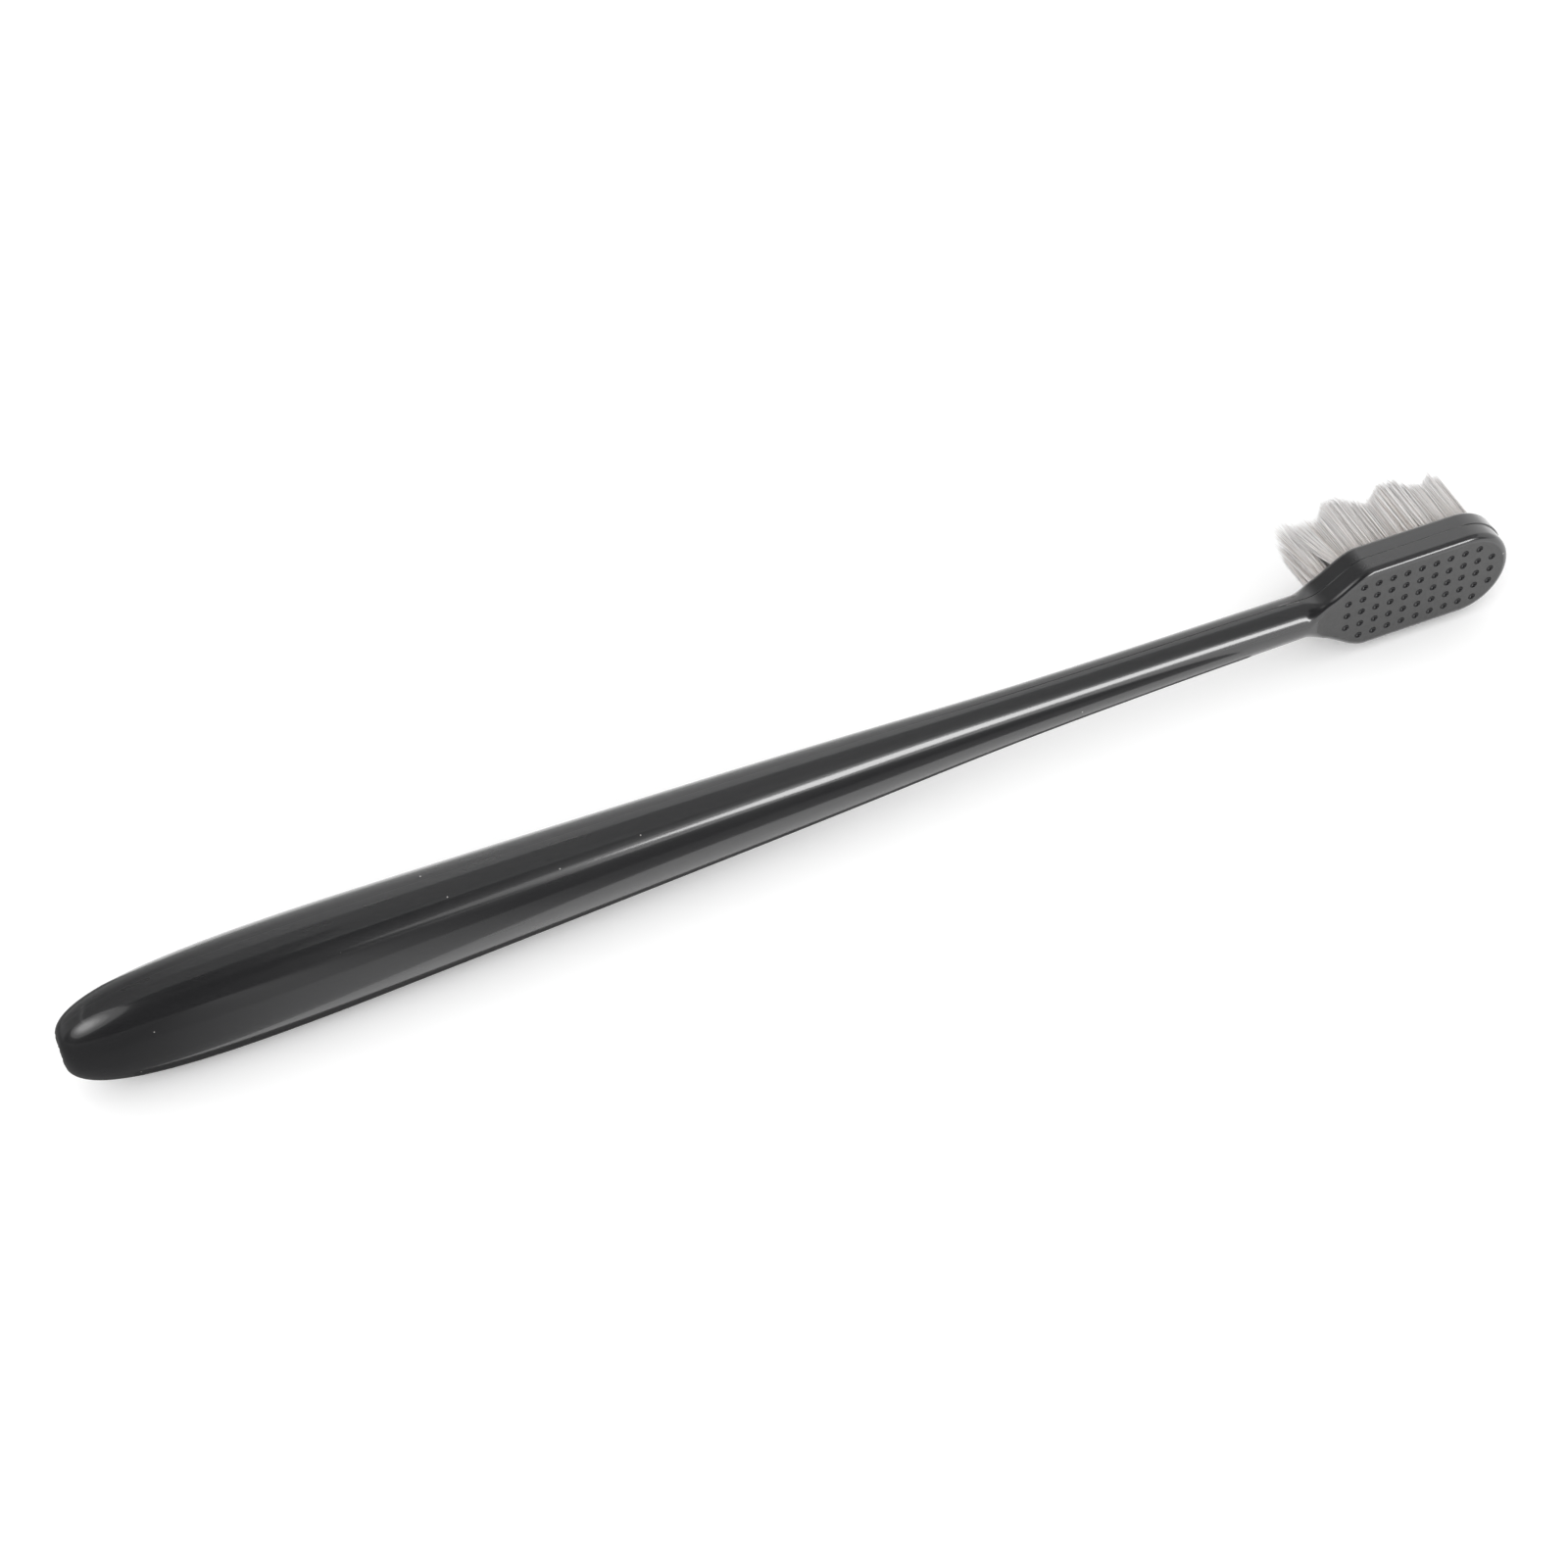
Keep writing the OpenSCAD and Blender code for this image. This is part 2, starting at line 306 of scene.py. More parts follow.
# %% [markdown]
# ## Dark moulded plastic
# The handle is a near-black gloss plastic. Three things keep it from looking like a flat colour:
# faint streaks where the melt flowed along the mould, which change the gloss a little, a very
# slight waviness in the reflections, and a few pale specks. All of them follow the Object
# coordinates, so they stay on the plastic when it is seen from elsewhere.


# %% Small helpers for node materials
def new_material(name):
    """An empty node material, its nodes and links, and its Principled shader."""
    material = bpy.data.materials.new(name)
    material.use_nodes = True
    tree = material.node_tree
    return material, tree.nodes, tree.links, tree.nodes["Principled BSDF"]


def object_pattern(nodes, links, scale=(1, 1, 1)):
    """Object coordinates stretched by a Mapping node."""
    place = nodes.new("ShaderNodeTexCoord")
    mapping = nodes.new("ShaderNodeMapping")
    mapping.inputs["Scale"].default_value = scale
    links.new(place.outputs["Object"], mapping.inputs["Vector"])
    return mapping.outputs["Vector"]


def ranged(nodes, links, source, low, high, to_low, to_high):
    """A Map Range node from source, which carries a texture value into a range."""
    node = nodes.new("ShaderNodeMapRange")
    limits = {"From Min": low, "From Max": high, "To Min": to_low, "To Max": to_high}
    for key, value in limits.items():
        node.inputs[key].default_value = value
    links.new(source, node.inputs["Value"])
    return node.outputs["Result"]


def noise(nodes, links, vector, scale, detail=3.0):
    """A noise texture's value."""
    node = nodes.new("ShaderNodeTexNoise")
    node.inputs["Scale"].default_value = scale
    node.inputs["Detail"].default_value = detail
    links.new(vector, node.inputs["Vector"])
    return node.outputs["Fac"]


# %% Helpers for bumps and for colours of two tones
def bump(nodes, links, height, strength, distance, under=None):
    """A bump from a height, laid over an earlier bump if there is one."""
    node = nodes.new("ShaderNodeBump")
    node.inputs["Strength"].default_value = strength
    node.inputs["Distance"].default_value = distance
    links.new(height, node.inputs["Height"])
    if under is not None:
        links.new(under, node.inputs["Normal"])
    return node.outputs["Normal"]


def two_tones(nodes, links, share, first, second):
    """A colour that goes from the first to the second as the share goes from 0 to 1."""
    node = nodes.new("ShaderNodeMix")
    node.data_type = "RGBA"
    node.inputs["A"].default_value = (*first, 1)
    node.inputs["B"].default_value = (*second, 1)
    links.new(share, node.inputs["Factor"])
    return node.outputs["Result"]


# %% Gloss plastic of the handle
gloss_plastic, nodes, links, shader = new_material("gloss_plastic")
flow = noise(nodes, links, object_pattern(nodes, links, (1, 14, 14)), 60)
peel = noise(nodes, links, object_pattern(nodes, links), 420, 2.0)
specks = nodes.new("ShaderNodeTexVoronoi")
specks.inputs["Scale"].default_value = 260
links.new(object_pattern(nodes, links), specks.inputs["Vector"])
spot = ranged(nodes, links, specks.outputs["Distance"], 0.016, 0.03, 1.0, 0.0)
near_black = (0.006, 0.006, 0.007)
tint = two_tones(nodes, links, spot, near_black, (0.35, 0.34, 0.33))
links.new(tint, shader.inputs["Base Color"])
links.new(ranged(nodes, links, flow, 0.3, 0.7, 0.27, 0.36), shader.inputs["Roughness"])
waves = bump(nodes, links, peel, 0.05, 0.0002)
links.new(bump(nodes, links, flow, 0.06, 0.0002, waves), shader.inputs["Normal"])
shader.inputs["IOR"].default_value = 1.4
shader.inputs["Coat Weight"].default_value = 1.0
shader.inputs["Coat IOR"].default_value = 1.65
shader.inputs["Coat Roughness"].default_value = 0.1
print("gloss plastic:", len(nodes), "nodes")

# %% [markdown]
# ## Fine-grained plate on the back of the head
# Inside its glossy rims the flat back of the head is blasted to a fine matte grain. It is the same
# plastic, so only the roughness and a very fine bump differ. The dimples were pressed by polished
# pins, so they are smooth. They catch little light, and their gloss is also made weaker than the
# handle's, which is painted shade in the hollows.

# %% Matte plastic of the plate
matte_plastic, nodes, links, shader = new_material("matte_plastic")
grain_place = object_pattern(nodes, links)
fine = noise(nodes, links, grain_place, 2600, 3.0)
broad = noise(nodes, links, grain_place, 380, 2.0)
tone = two_tones(nodes, links, broad, (0.014, 0.014, 0.014), (0.026, 0.026, 0.026))
links.new(tone, shader.inputs["Base Color"])
links.new(ranged(nodes, links, fine, 0.3, 0.7, 0.42, 0.55), shader.inputs["Roughness"])
links.new(bump(nodes, links, fine, 0.35, 0.00004), shader.inputs["Normal"])
shader.inputs["Coat Weight"].default_value = 0.5
shader.inputs["Coat Roughness"].default_value = 0.35
print("matte plastic:", len(nodes), "nodes")

# %% Dark gloss of the dimples, with painted shade
painted_shade_pit_plastic, nodes, links, shader = new_material("painted_shade_pit_plastic")
rough_pit = noise(nodes, links, object_pattern(nodes, links), 1500, 2.0)
shader.inputs["Base Color"].default_value = (*near_black, 1)
links.new(ranged(nodes, links, rough_pit, 0.3, 0.7, 0.3, 0.45), shader.inputs["Roughness"])
links.new(bump(nodes, links, rough_pit, 0.1, 0.00005), shader.inputs["Normal"])
# Painted shade: the dimples reflect less than the handle's plastic, which darkens the hollows
shader.inputs["Specular IOR Level"].default_value = 0.1
shader.inputs["Coat Weight"].default_value = 0.75
shader.inputs["Coat Roughness"].default_value = 0.06
print("pit plastic:", len(nodes), "nodes")

# %% [markdown]
# ## The moulding's mesh
# The grid closes on itself round each section. Where the head's two flat faces begin, the strip
# between the rims is left open, because plates with real holes fill it. The butt ends in the flat
# where the moulding was cut from its runner, which is a little rough.

# %% Handle, neck and head
grain_lead = 9  # sections before the plate over which the matte grain already begins
quads = grid_faces(rows, ring_n)
station, place = np.divmod(np.arange(len(quads)), ring_n)
on_front, on_back = place == front_edge, place == back_edge
kept = ~((on_front | on_back) & (station >= plate_start))
is_plate = on_back & (station >= plate_start - grain_lead)


def butt_cap(edge, uneven=0.1, sunk=0.02):
    """Rings that shrink to the centre of the first section and are pushed in by seeded noise, so
    that the cut looks torn."""
    share = np.array([0.97, 0.86, 0.7, 0.5, 0.25, 0.0])[:, None, None]
    rings = edge.mean(0) + (edge - edge.mean(0)) * share
    rough = np.abs(np.random.default_rng(4).normal(0, uneven, rings.shape[:2]))
    rings[..., 0] += rough * (share[..., 0] > 0) + sunk
    return rings


cap = butt_cap(moulding[0])
cap_quads = grid_faces(len(cap) + 1, ring_n)[:, ::-1]
cap_index = np.concatenate([np.arange(ring_n), rows * ring_n + np.arange(len(cap) * ring_n)])
body_faces = np.concatenate([quads[kept], cap_index[cap_quads]])
body_slots = np.concatenate([is_plate[kept].astype(int), np.zeros(len(cap_quads), int)])
body = make_piece(
    "moulded_body",
    np.concatenate([moulding.reshape(-1, 3), cap.reshape(-1, 3)]),
    body_faces.tolist(),
    (gloss_plastic, matte_plastic),
    body_slots,
)

# %% Join the points that coincide at the tip and in the butt
joined = bmesh.new()
joined.from_mesh(body.data)
before = len(joined.verts)
bmesh.ops.remove_doubles(joined, verts=joined.verts, dist=2e-7)
joined.to_mesh(body.data)
print("joined", before - len(joined.verts), "points")
joined.free()
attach(body, "root")
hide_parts("brush_body")

# %% [markdown]
# ## Plates with holes
# The back of the head has a small dimple behind every tuft, and its bristle side has the holes that
# the tufts stand in. Cutting holes with a Boolean modifier would leave ragged triangles, so each
# plate is one flat outline with circles left out of it, and each pit is a profile turned about its
# axis. The dimple's profile is a ball's cap with a small rounded lip.

# %% Where the tufts stand
def tuft_row(row, count):
    """Centres one pitch apart, about the field's middle in x, and one pitch a row in y."""
    x = field_x + (np.arange(count) - (count - 1) / 2) * tuft_pitch
    return np.stack([x, np.full(count, (row - len(row_lengths) // 2) * tuft_pitch)], 1)


tuft_rows = [tuft_row(row, count) for row, count in enumerate(row_lengths)]
centres = np.concatenate(tuft_rows)
print(len(centres), "tufts")


# %% Pits turned from a profile
def dimple_profile(width=0.95, depth=0.3, lip=0.03):
    """Radius and depth: an arc of radius lip leaves the plate, and the ball's cap follows from
    where both are tangent."""
    ball = (width**2 / 4 + depth**2) / (2 * depth)
    over = ball - depth
    lip_r = np.sqrt((ball + lip) ** 2 - (over + lip) ** 2)
    end = np.arctan2(lip_r, over + lip)
    a = np.linspace(0, end, 5)
    arc = np.stack([lip_r - lip * np.sin(a), lip - lip * np.cos(a)], 1)
    b = np.linspace(end, 0, 8)[1:]
    cap = np.stack([ball * np.sin(b), ball * np.cos(b) - over], 1)
    return np.concatenate([arc, cap])


def turned_pits(profile, at, steps, height, outward):
    """The profile turned about upright axes at the centres, going in from a plate whose outward
    direction is +1 or -1 along z."""
    a = np.linspace(0, 2 * np.pi, steps, endpoint=False)
    ring = np.stack([np.cos(a), np.sin(a)], 1)
    flat = at[:, None, None, :] + profile[None, :, None, :1] * ring
    z = np.broadcast_to(height - outward * profile[None, :, None, 1:], flat.shape[:3] + (1,))
    points = np.concatenate([flat, z], 3)
    quads = grid_faces(len(profile), steps)[:, :: int(outward)]
    shift = (np.arange(len(at)) * len(profile) * steps)[:, None, None]
    return points.reshape(-1, 3), (quads[None] + shift).reshape(-1, 4)


# %% Flat plates with circles left out
def holed_plate(corners, at, radius, steps, height, outward):
    """The flat between the rims, with circles left out, as triangles that face outward."""
    a = np.linspace(0, 2 * np.pi, steps, endpoint=False)
    circles = at[:, None, :] + radius * np.stack([np.cos(a), np.sin(a)], 1)
    flat = np.concatenate([corners, circles.reshape(-1, 2)])
    loops = [[Vector((x, y, 0)) for x, y in loop] for loop in [corners, *circles]]
    triangles = np.array(tessellate_polygon(loops))
    p, q, r = (flat[triangles[:, i]] for i in range(3))
    turn_way = np.sign((q - p)[:, 0] * (r - p)[:, 1] - (q - p)[:, 1] * (r - p)[:, 0])
    wrong = turn_way != outward
    triangles[wrong] = triangles[wrong][:, ::-1]
    return np.column_stack([flat, np.full(len(flat), height)]), triangles


def plate_outline(index):
    """The rim's inner edge, along one side of the head, round the tip and back along the other."""
    edge = moulding[plate_start:, index, :2]
    return np.concatenate([edge, edge[-2::-1] * (1, -1)])


# %% Back plate with its dimples
dimple_steps = 28
profile = dimple_profile()
outline = plate_outline(back_edge + 1)
plate_points, plate_faces = holed_plate(outline, centres, profile[0, 0], dimple_steps, 0.0, -1)
pit_points, pit_faces = turned_pits(profile, centres, dimple_steps, 0.0, -1)
back_plate = make_piece(
    "head_back_plate",
    np.concatenate([plate_points, pit_points]),
    plate_faces.tolist() + (pit_faces + len(plate_points)).tolist(),
    (matte_plastic, painted_shade_pit_plastic),
    [0] * len(plate_faces) + [1] * len(pit_faces),
)
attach(back_plate, "root")

# %% Bristle-side plate with the tuft holes
hole_steps, hole_r, well_depth = 24, hole_d / 2, 0.7
well = np.array([(hole_r, 0), (hole_r, well_depth), (0.0, well_depth)])
outline = plate_outline(front_edge)
plate_points, plate_faces = holed_plate(outline, centres, hole_r, hole_steps, head_t, 1)
pit_points, pit_faces = turned_pits(well, centres, hole_steps, head_t, 1)
front_plate = make_piece(
    "bristle_side_plate",
    np.concatenate([plate_points, pit_points]),
    plate_faces.tolist() + (pit_faces + len(plate_points)).tolist(),
    (gloss_plastic,),
)
front_plate.data.polygons.foreach_set("use_smooth", np.zeros(len(front_plate.data.polygons), bool))
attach(front_plate, "root")

# %% [markdown]
# ## Filaments
# A tuft is a bundle of very fine nylon filaments that end in soft points, cut to a wave along the
# head. Hair particles could make them, but a real mesh exports and bakes. Each filament has three
# sides and a few steps, leaves its hole leaning outwards, so that the tufts close up into one
# field, and ends at its own height near the wave. At the neck's end the tufts have nothing to lean
# on. They splay a little there, and the upper ones fan out to fill the corner where the outer row
# is one tuft shorter. All filaments of a row are worked out as one array.

# %% Nylon, with painted shade at the feet and painted light at the tips
nylon, nodes, links, shader = new_material("nylon")
along = nodes.new("ShaderNodeAttribute")
along.attribute_name = "along"
own = nodes.new("ShaderNodeAttribute")
own.attribute_name = "streak_shade"
# Painted shade and light: darker and warmer towards the feet, where shade falls between the tufts,
# and white towards the tips, as painted light
ramp = nodes.new("ShaderNodeValToRGB")
stops = ramp.color_ramp.elements
stops[0].color, stops[1].color = (0.80, 0.77, 0.74, 1), (0.97, 0.97, 0.97, 1)
stops.new(0.35).color = (0.88, 0.86, 0.85, 1)
stops.new(0.86).color = (0.93, 0.92, 0.92, 1)
links.new(along.outputs["Fac"], ramp.inputs["Fac"])
# Painted shade: a few filaments, picked at random, are darker and warmer, as the shaded gaps
streak_shade_tint = nodes.new("ShaderNodeMix")
streak_shade_tint.data_type = "RGBA"
streak_shade_tint.blend_type = "MULTIPLY"
streak_shade_tint.inputs["B"].default_value = (0.70, 0.64, 0.60, 1)
links.new(own.outputs["Fac"], streak_shade_tint.inputs["Factor"])
links.new(ramp.outputs["Color"], streak_shade_tint.inputs["A"])
links.new(streak_shade_tint.outputs["Result"], shader.inputs["Base Color"])
shader.inputs["Roughness"].default_value = 0.38
print("nylon:", len(nodes), "nodes")


# %% The wave that the tips are cut to
# On the way down to the neck's trough the wave is cut deeper: the place of that bell from the
# field's middle and its breadth, both in mm, and the share of the depth that it adds
bell_x, bell_l, bell_share = -6.9, 0.9, 0.5


def wave_height(x):
    """The head's face plus the crest length, less half the wave's depth times one less the cosine
    of the way from a crest. Under the bell curve the depth is greater by its share."""
    bell = np.exp(-(((x - field_x - bell_x) / bell_l) ** 2))
    depth = wave_depth * (1 + bell_share * bell)
    way = 2 * np.pi * (x - field_x - crest_x) / wave_pitch
    return head_t + crest_l - depth * (1 - np.cos(way)) / 2


bristle_l = wave_height(field_x + np.linspace(-10, 10, 201)) - head_t
print("the bristles are", bristle_l.min().round(1), "to", bristle_l.max().round(1), "mm long")

# %% The lean at the neck's end
# For the splay, the fan and the lifted corner: how far from the field's middle they begin, the
# way over which they grow, and how far they then move a tip, all in millimetres
splay_from, splay_over, splay_most = 4, 7, 1.3
fan_from, fan_over, fan_most = 6.5, 2.5, 2.0
corner_from, corner_over, corner_most = 9, 1, 1.5


def towards_neck(tip, start, length):
    """The tip's way past a start, measured from the field's middle to the neck, over a length."""
    return (field_x - start - tip[..., 0]) / length


def neck_end_lean(tip, chance):
    """Splay: the square of the way past its start times a random share, less in the lower rows.
    Fan: the way to the power 1.5, in the top row. Corner: the way itself, in the upper rows."""
    splay = np.zeros_like(tip)
    way = np.clip(towards_neck(tip, splay_from, splay_over), 0, None)
    splay[..., 0] = -splay_most * way**2 * chance.normal(1, 0.3, tip.shape[:2])
    splay *= np.clip(0.45 - 0.27 * tip[..., 1:], -0.25, 1)
    top_row, upper_rows = np.clip(-3 - tip[..., 1], 0, 1), np.clip((-1 - tip[..., 1]) / 2, 0, 1)
    fan = fan_most * np.clip(towards_neck(tip, fan_from, fan_over), 0, 1) ** 1.5 * top_row
    corner = corner_most * np.clip(towards_neck(tip, corner_from, corner_over), 0, 1) * upper_rows
    return splay, fan, corner


print("the top row fans out by up to", fan_most, "mm")

# %% Where each filament stands and ends
per_tuft = 400
golden_turn = 2.39996  # the angle from one seed of a sunflower to the next
foot_share = 0.75  # mm that the feet reach out from the middle of their hole
foot_chance, tip_chance = 0.02, 0.14  # mm by which feet and tips stray
tip_over, tip_uneven = 0.1, 0.2  # mm that tips stand past the wave, and by which they differ


def filament_field(at, seed):
    """Feet on a sunflower spiral in each hole. Tips where the disc, stretched to a square as wide
    as the pitch, has them, moved by a little chance and by the lean at the neck's end."""
    chance = np.random.default_rng(seed)
    k = np.arange(per_tuft)
    spiral = np.sqrt((k + 0.5) / per_tuft)
    swirl = k * golden_turn
    disc = np.stack([spiral * np.cos(swirl), spiral * np.sin(swirl)], 1)
    square = disc * (spiral / np.abs(disc).max(1))[:, None]
    shape = len(at), per_tuft
    foot = at[:, None, :] + foot_share * disc + chance.normal(0, foot_chance, (*shape, 2))
    tip = at[:, None, :] + tuft_pitch / 2 * square + chance.normal(0, tip_chance, (*shape, 2))
    tip_z = wave_height(tip[..., 0]) + chance.normal(tip_over, tip_uneven, shape)
    tip_z = np.minimum(tip_z, head_t + crest_l - 0.03 - np.abs(chance.normal(0, 0.06, shape)))
    splay, fan, corner = neck_end_lean(tip, chance)
    tip_z += 0.1 * fan
    # Most lean low down, so that the field closes up, but next to the neck they lean evenly
    power = mix(0.25, 1, np.clip(towards_neck(tip, 8, 3), 0, 1))
    tip -= np.stack([fan, corner], 2)
    return foot, tip - foot, splay, power, tip_z, chance


print(per_tuft * len(centres), "filaments to come")

# %% Filament meshes
levels = np.array([0, 0.12, 0.3, 0.75, 0.92])  # shares of the way up at which rings stand
radii = 0.041 * np.array([1, 1, 1, 0.85, 0.5])  # of the rings, in mm
foot_z = head_t - 0.6


def filament_faces(count, each):
    """Quads between the rings, three triangles to the point, and one that closes the foot."""
    shift = (np.arange(count) * each)[:, None, None]
    quads = (grid_faces(len(levels), 3)[None] + shift).reshape(-1, 4)
    p, q, r, point = range(each - 4, each)
    ends = [[p, q, point], [q, r, point], [r, p, point], [2, 1, 0]]
    return quads.tolist() + (np.array(ends)[None] + shift).reshape(-1, 3).tolist()


def filament_mesh(at, seed):
    """At a share s of the way up, the filament's middle is its foot plus its lean times s to a
    power plus its splay times s, and its radius shrinks near the point."""
    foot, lean, splay, power, tip_z, chance = filament_field(at, seed)
    n = foot.shape[0] * foot.shape[1]
    foot, lean, splay = (field.reshape(n, 1, 2) for field in (foot, lean, splay))
    s = levels[None, :, None]
    middle = foot + lean * s ** power.reshape(n, 1, 1) + splay * s
    height = foot_z + (tip_z.reshape(n, 1) - foot_z) * levels
    a = chance.uniform(0, 2 * np.pi, (n, 1)) + np.arange(3) * 2 * np.pi / 3
    ring = np.stack([np.cos(a), np.sin(a)], 2)[:, None] * radii[None, :, None, None]
    upright = np.broadcast_to(height[:, :, None, None], (n, len(levels), 3, 1))
    sides = np.concatenate([middle[:, :, None, :] + ring, upright], 3)
    point = np.concatenate([foot + lean + splay, tip_z.reshape(n, 1, 1)], 2)
    points = np.concatenate([sides.reshape(n, -1, 3), point], 1)
    each = points.shape[1]
    share = np.tile(np.append(np.repeat(levels, 3), 1.0), n)
    # Painted shade: a share, high for a few filaments picked at random, that darkens them
    streak_shade = np.repeat(chance.uniform(0, 1, n) ** 4, each)
    return points.reshape(-1, 3), filament_faces(n, each), share, streak_shade


# %% Tufts, row by row
for row, at in enumerate(tuft_rows):
    letter = "abcde"[row]
    points, faces, share, streak_shade = filament_mesh(at, 20 + row)
    filaments = make_piece("filaments_row_" + letter, points, faces, (nylon,))
    for key, values in (("along", share), ("streak_shade", streak_shade)):
        attribute = filaments.data.attributes.new(key, "FLOAT", "POINT")
        attribute.data.foreach_set("value", values.astype(np.float32))
    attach(filaments, "root")
    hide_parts(*(f"tuft_{letter}{i + 1:02d}" for i in range(len(at))))

# %% [markdown]
# ## Anchor strips
# Inside the head a small metal strip holds each tuft down. The strips can't be seen, but they keep
# their CAD shape and get a plain brass, so that a cut model would still look right.

# %% Brass
brass, nodes, links, shader = new_material("brass")
drawn = noise(nodes, links, object_pattern(nodes, links, (6, 6, 1)), 900, 2.0)
shader.inputs["Base Color"].default_value = (0.78, 0.62, 0.3, 1)
shader.inputs["Metallic"].default_value = 1.0
links.new(ranged(nodes, links, drawn, 0.3, 0.7, 0.28, 0.42), shader.inputs["Roughness"])
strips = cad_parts["anchor_strips"]
strips.data.materials.clear()
strips.data.materials.append(brass)
print("brass on", strips.name)

# %% [markdown]
# ## Floor
# The brush lies on a plain white floor, which keeps its soft shadow. The light alone would leave
# the floor a very pale grey, and more light would burn out the bristles. So the floor glows a
# little, but only for the camera and for rays off gloss or through glass, which leaves the shading
# alone.


# %% Floor material
def larger(nodes, links, first, second):
    """The larger of two values."""
    node = nodes.new("ShaderNodeMath")
    node.operation = "MAXIMUM"
    links.new(first, node.inputs[0])
    links.new(second, node.inputs[1])
    return node.outputs[0]


floor_white, nodes, links, shader = new_material("floor_white")
rays = nodes.new("ShaderNodeLightPath").outputs
seen = larger(nodes, links, rays["Is Camera Ray"], rays["Is Glossy Ray"])
seen = larger(nodes, links, seen, rays["Is Transmission Ray"])
glow = ranged(nodes, links, seen, 0, 1, 0, 0.08)
shader.inputs["Base Color"].default_value = (0.95, 0.95, 0.95, 1)
shader.inputs["Emission Color"].default_value = (1, 1, 1, 1)
links.new(glow, shader.inputs["Emission Strength"])
shader.inputs["Roughness"].default_value = 0.9
shader.inputs["Specular IOR Level"].default_value = 0.0
print("floor white:", len(nodes), "nodes")


# %% Floor
def stage_sheet(name, points, faces, material):
    """A flat mesh, in metres, that belongs to the studio and not to the brush."""
    mesh = bpy.data.meshes.new(name)
    mesh.from_pydata(points, [], faces)
    mesh.materials.append(material)
    sheet = bpy.data.objects.new(name, mesh)
    bpy.context.scene.collection.objects.link(sheet)
    return sheet


def rectangle(name, centre, half_u, half_v, material):
    """Four corners: the centre less or plus one half side, less or plus the other."""
    c, u, v = (np.asarray(p, float) for p in (centre, half_u, half_v))
    corners = [(c + a * u + b * v).tolist() for a, b in ((-1, -1), (1, -1), (1, 1), (-1, 1))]
    return stage_sheet(name, corners, [(0, 1, 2, 3)], material)


floor = rectangle("floor", (0, 0, 0), (3, 0, 0), (0, 3, 0), floor_white)
print("the floor is", floor.dimensions.x, "m wide")

# %% [markdown]
# ## Cards that only reflections see
# Gloss plastic looks like what stands round it. In a studio that is a white wall here and a dark
# corner there, so grey cards are hung on the walls and ceiling of an imaginary room. Where the real
# room gets darker little by little, the card's grey changes along x, or its edge would be seen in
# the plastic as a hard line. They are seen only in reflections and take no light from the floor or
# the bristles. A photograph of a studio as the world would do it too, but would need a file.

# %% Greys of the cards
def card_grey(name, greys, ends):
    """A dull grey that runs through the greys along x, from one end to the other, and is set
    directly where there is only one."""
    material, nodes, links, shader = new_material("grey_of_" + name)
    shader.inputs["Roughness"].default_value = 0.9
    shader.inputs["Specular IOR Level"].default_value = 0.0
    if len(greys) == 1:
        shader.inputs["Base Color"].default_value = (*greys * 3, 1)
        return material
    place = nodes.new("ShaderNodeTexCoord")
    split = nodes.new("ShaderNodeSeparateXYZ")
    links.new(place.outputs["Object"], split.inputs["Vector"])
    ramp = nodes.new("ShaderNodeValToRGB")
    ramp.color_ramp.interpolation = "EASE"
    stops = ramp.color_ramp.elements
    stops[0].color, stops[-1].color = ((grey, grey, grey, 1) for grey in (greys[0], greys[-1]))
    for i in range(1, len(greys) - 1):
        stops.new(i / (len(greys) - 1)).color = (*greys[i : i + 1] * 3, 1)
    links.new(ranged(nodes, links, split.outputs["X"], *ends, 0, 1), ramp.inputs["Fac"])
    links.new(ramp.outputs["Color"], shader.inputs["Base Color"])
    return material


def only_reflected(sheet):
    """Hides a sheet from the eye, and keeps its shade off the floor and the bristles."""
    sheet.visible_camera = sheet.visible_diffuse = sheet.visible_shadow = False


# %% Cards round the brush
room, wall_h = 1.2, 0.97  # how far the walls stand off, and their height, in metres


def level_card(name, x, y, z, half_x, half_y, greys, ends=(0, 1)):
    """A card that lies level, over or under the brush."""
    grey = card_grey(name, greys, ends)
    only_reflected(rectangle("card_" + name, (x, y, z), (half_x, 0, 0), (0, half_y, 0), grey))


def wall_card(name, x, y, half_x, half_y, greys, ends=(0, 1)):
    """A card that stands on the floor."""
    grey = card_grey(name, greys, ends)
    middle, half_h = (x, y, wall_h / 2), (0, 0, wall_h / 2)
    only_reflected(rectangle("card_" + name, middle, (half_x, half_y, 0), half_h, grey))


level_card("ceiling", 0.15, -0.45, 1.0, 1.05, 0.75, (0.3, 0.42), (-0.4, 0.3))
level_card("ceiling_at_the_butt", -0.4, -0.82, wall_h, 0.52, 0.38, (0.1, 0.2), (-0.2, 0.12))
wall_card("wall_front_left", -0.24, -room, 0.69, 0, (0.1, 0.2), (0.2, 0.45))
wall_card("wall_front_right", 1.18, -room, 0.73, 0, (0.2, 0.26), (0.45, 0.9))
wall_card("wall_butt_front", -0.93, -0.6, 0, 0.6, (0.12,))
wall_card("wall_butt_back", -0.93, 0.6, 0, 0.6, (0.36,))
wall_card("wall_back_left", -0.21, room, 0.71, 0, (0.4, 1), (-0.4, 0.5))
level_card("ceiling_back_left", -0.2, 0.75, 1.0, 0.7, 0.45, (0.3, 1), (-0.4, 0.5))
level_card("floor_at_the_butt", -0.4925, -0.25, 0.0006, 0.4075, 0.55, (0.28, 0.15), (-0.5, -0.1))
print("nine grey cards round the brush")

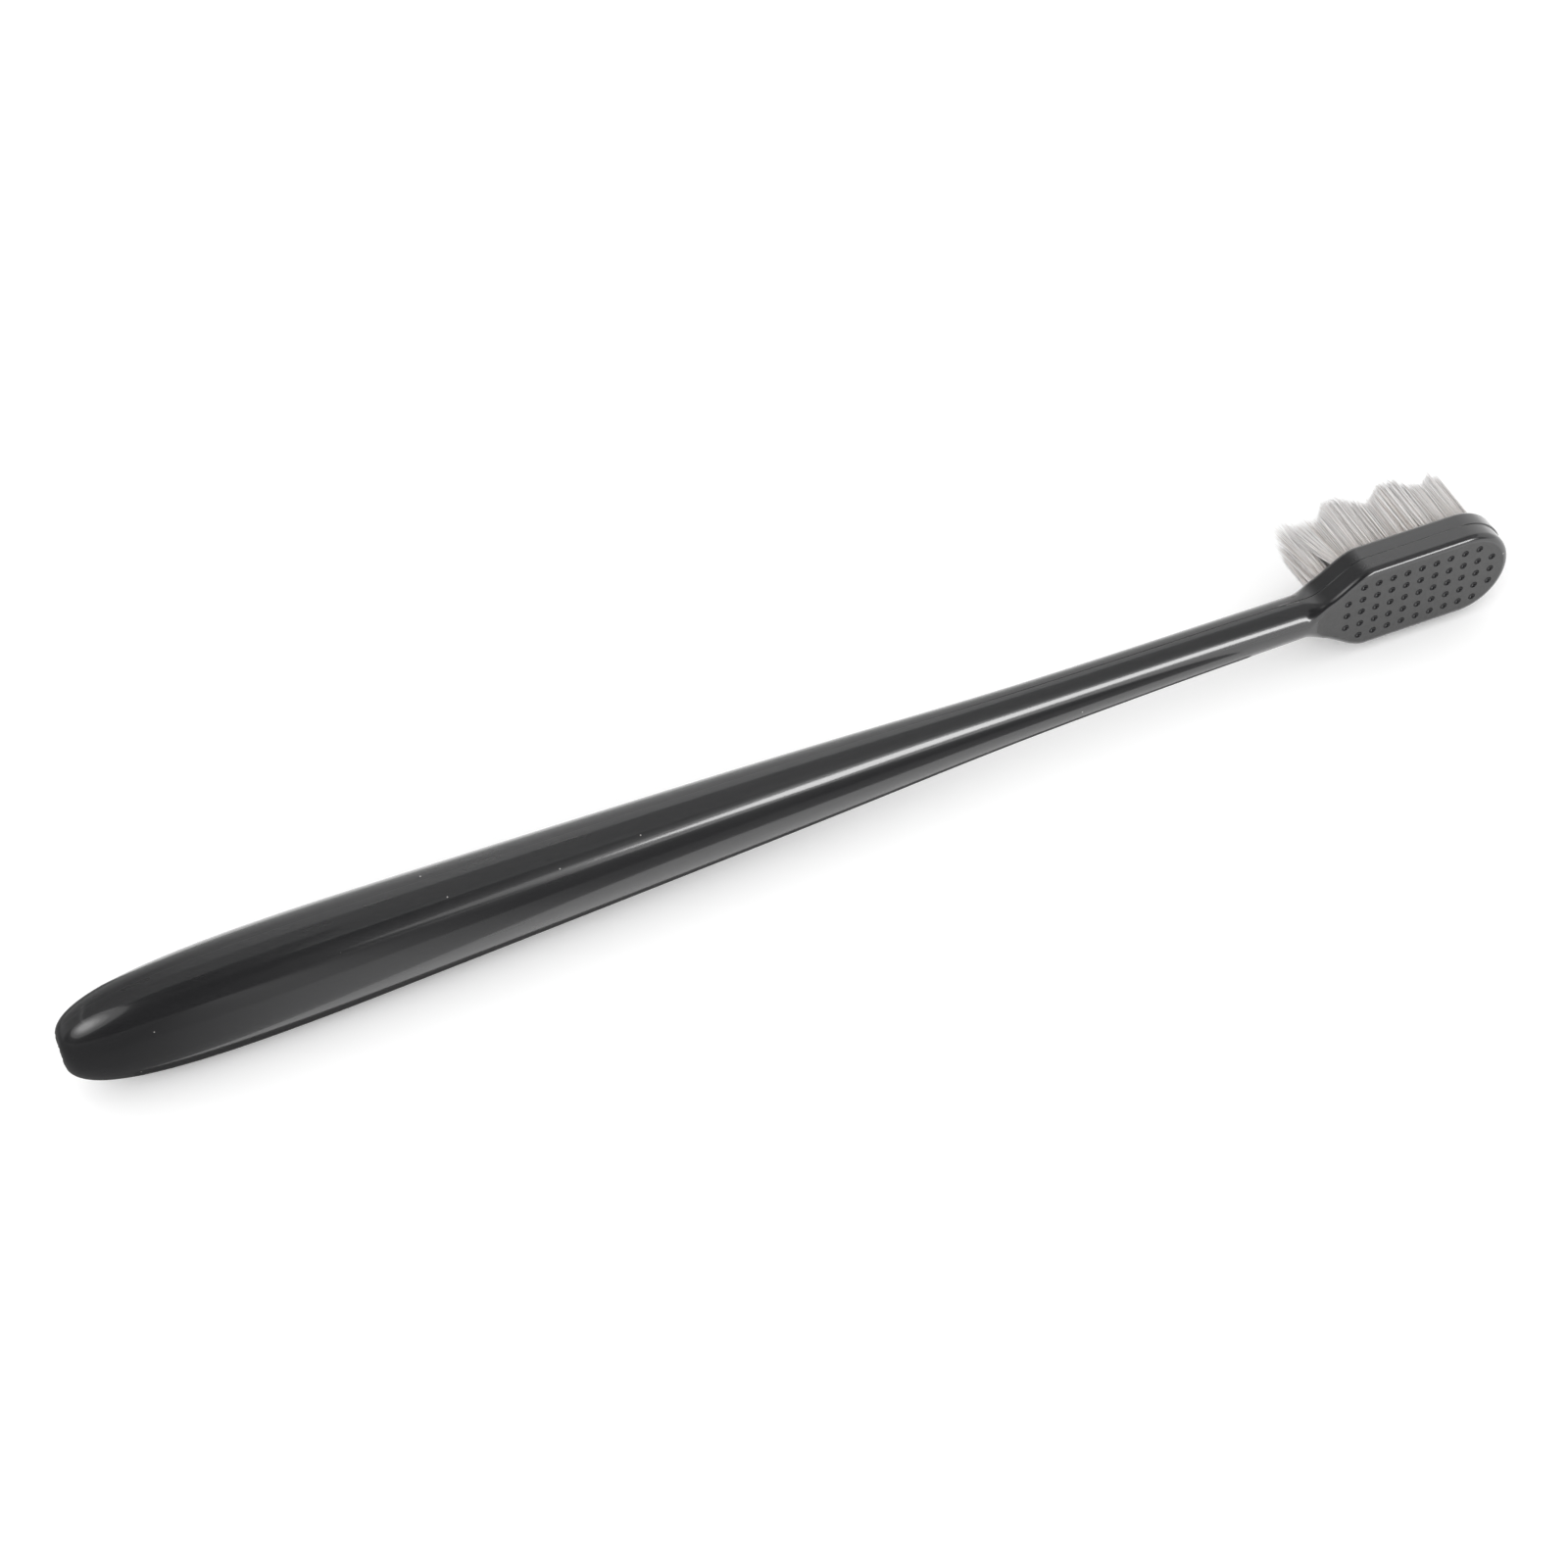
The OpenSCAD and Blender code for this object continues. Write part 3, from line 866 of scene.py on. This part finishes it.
# %% [markdown]
# ## Strips beside the handle
# In the photograph the lower side of the handle is darker than a white floor would make it, and it
# ends in a thin dark line at the bottom. Three level strips that follow the handle's own curve give
# these bands. One flat card couldn't, because the handle gets thinner towards the neck.

# %% Strips that only reflections see
stations = np.arange(0, handle_steps, 3)  # every third section of the handle
side = half_t[stations]
from_butt = ease(np.clip(x_back[stations] / 85, 0, 1))  # 0 at the butt, 1 from 85 mm on


def strip_along(name, near, far, height, greys, ends):
    """A level band at a height in mm beside the sections. Its two edges lie near and far mm out
    from the middle line, along y of the room."""
    x, z = x_back[stations], centre_z[stations]
    edges = [np.stack([x, np.full(len(x), rest_z - height), z + out], 1) for out in (near, far)]
    points = lay_on_side(np.concatenate(edges)).tolist()
    faces = grid_faces(2, len(x), closed=False)[:, ::-1].tolist()
    only_reflected(stage_sheet("strip_" + name, points, faces, card_grey(name, greys, ends)))
    print("strip", name, "has", len(faces), "faces")


near_edge = -side - 16
strip_along("near", -side - 7 * from_butt, near_edge, 1.0, (0.16, 0.6, 0.25), (-0.09, -0.02))
strip_along("far", near_edge, -side - 1100, 1.0, (0.14, 0.42, 0.14), (-0.09, -0.03))
# Painted shade: the darkest strip lies under the handle, where the floor is in the brush's shade,
# and draws the thin dark line along the handle's lower edge
under_edge = (0.15 * from_butt - 1.05) * side
strip_along("under", under_edge, 2.5 * side, 0.3, (0.1, 0.14), (-0.09, -0.01))

# %% [markdown]
# ## White surroundings
# A plain white world lights the brush evenly from all sides, as a light tent does. Its strength is
# 1, at which a colour renders about as it is written, so the materials also look right elsewhere.

# %% World
world = bpy.data.worlds.new("studio")
world.use_nodes = True
bpy.context.scene.world = world
background = world.node_tree.nodes["Background"]
background.inputs["Color"].default_value = (1, 1, 1, 1)
background.inputs["Strength"].default_value = 1.0
print("white world of strength", background.inputs["Strength"].default_value)

# %% [markdown]
# ## Lamps
# The thin bright streak along the handle is the reflection of a long softbox that stands low to the
# front right and slants like the brush. A lamp's brightness in a reflection is its power divided by
# its area, so a small lamp of little power draws a bright streak and yet adds hardly any light. A
# larger, weaker one round it gives the streak soft edges. At the left, four oval lamps behind each
# other, each larger than the last, make the soft spot on the butt.


# %% Lamps
def softbox(name, middle, towards, long_way, size, watts, shape="RECTANGLE"):
    """A flat lamp that faces a point, with its long side along a direction."""
    lamp = bpy.data.objects.new(name, bpy.data.lights.new(name, "AREA"))
    lamp.data.shape = shape
    lamp.data.size, lamp.data.size_y = size
    lamp.data.energy = watts
    back = (Vector(middle) - Vector(towards)).normalized()
    up = back.cross(Vector(long_way)).normalized()
    turned = Matrix((up.cross(back), up, back)).transposed().to_4x4()
    lamp.matrix_world = Matrix.Translation(middle) @ turned
    bpy.context.scene.collection.objects.link(lamp)


at_brush, slant = (0.02, 0, 0.01), (0.67, 0.30, 0.68)
softbox("main_softbox", (0.332, -0.617, 0.208), at_brush, slant, (0.42, 0.12), 1.3)
softbox("main_glow", (0.33, -0.642, 0.19), at_brush, slant, (0.55, 0.26), 0.5)
at_butt, level = (-0.09, 0, 0.01), (0, 1, 0)
for name, middle, size, watts in (
    ("butt_softbox", (-0.600, -0.390, 0.530), (0.28, 0.25), 0.17),
    ("butt_softbox_edge", (-0.607, -0.393, 0.537), (0.42, 0.37), 0.35),
    ("butt_softbox_rim", (-0.613, -0.397, 0.543), (0.58, 0.52), 0.52),
    ("butt_glow", (-0.620, -0.400, 0.550), (0.85, 0.8), 1.34),
):
    softbox(name, middle, at_butt, level, size, watts, "ELLIPSE")
print("six lamps")

# %% [markdown]
# ## Finish
# The view transform is Standard, so that a colour renders about as it is written.

# %% End
bpy.context.scene.view_settings.view_transform = "Standard"
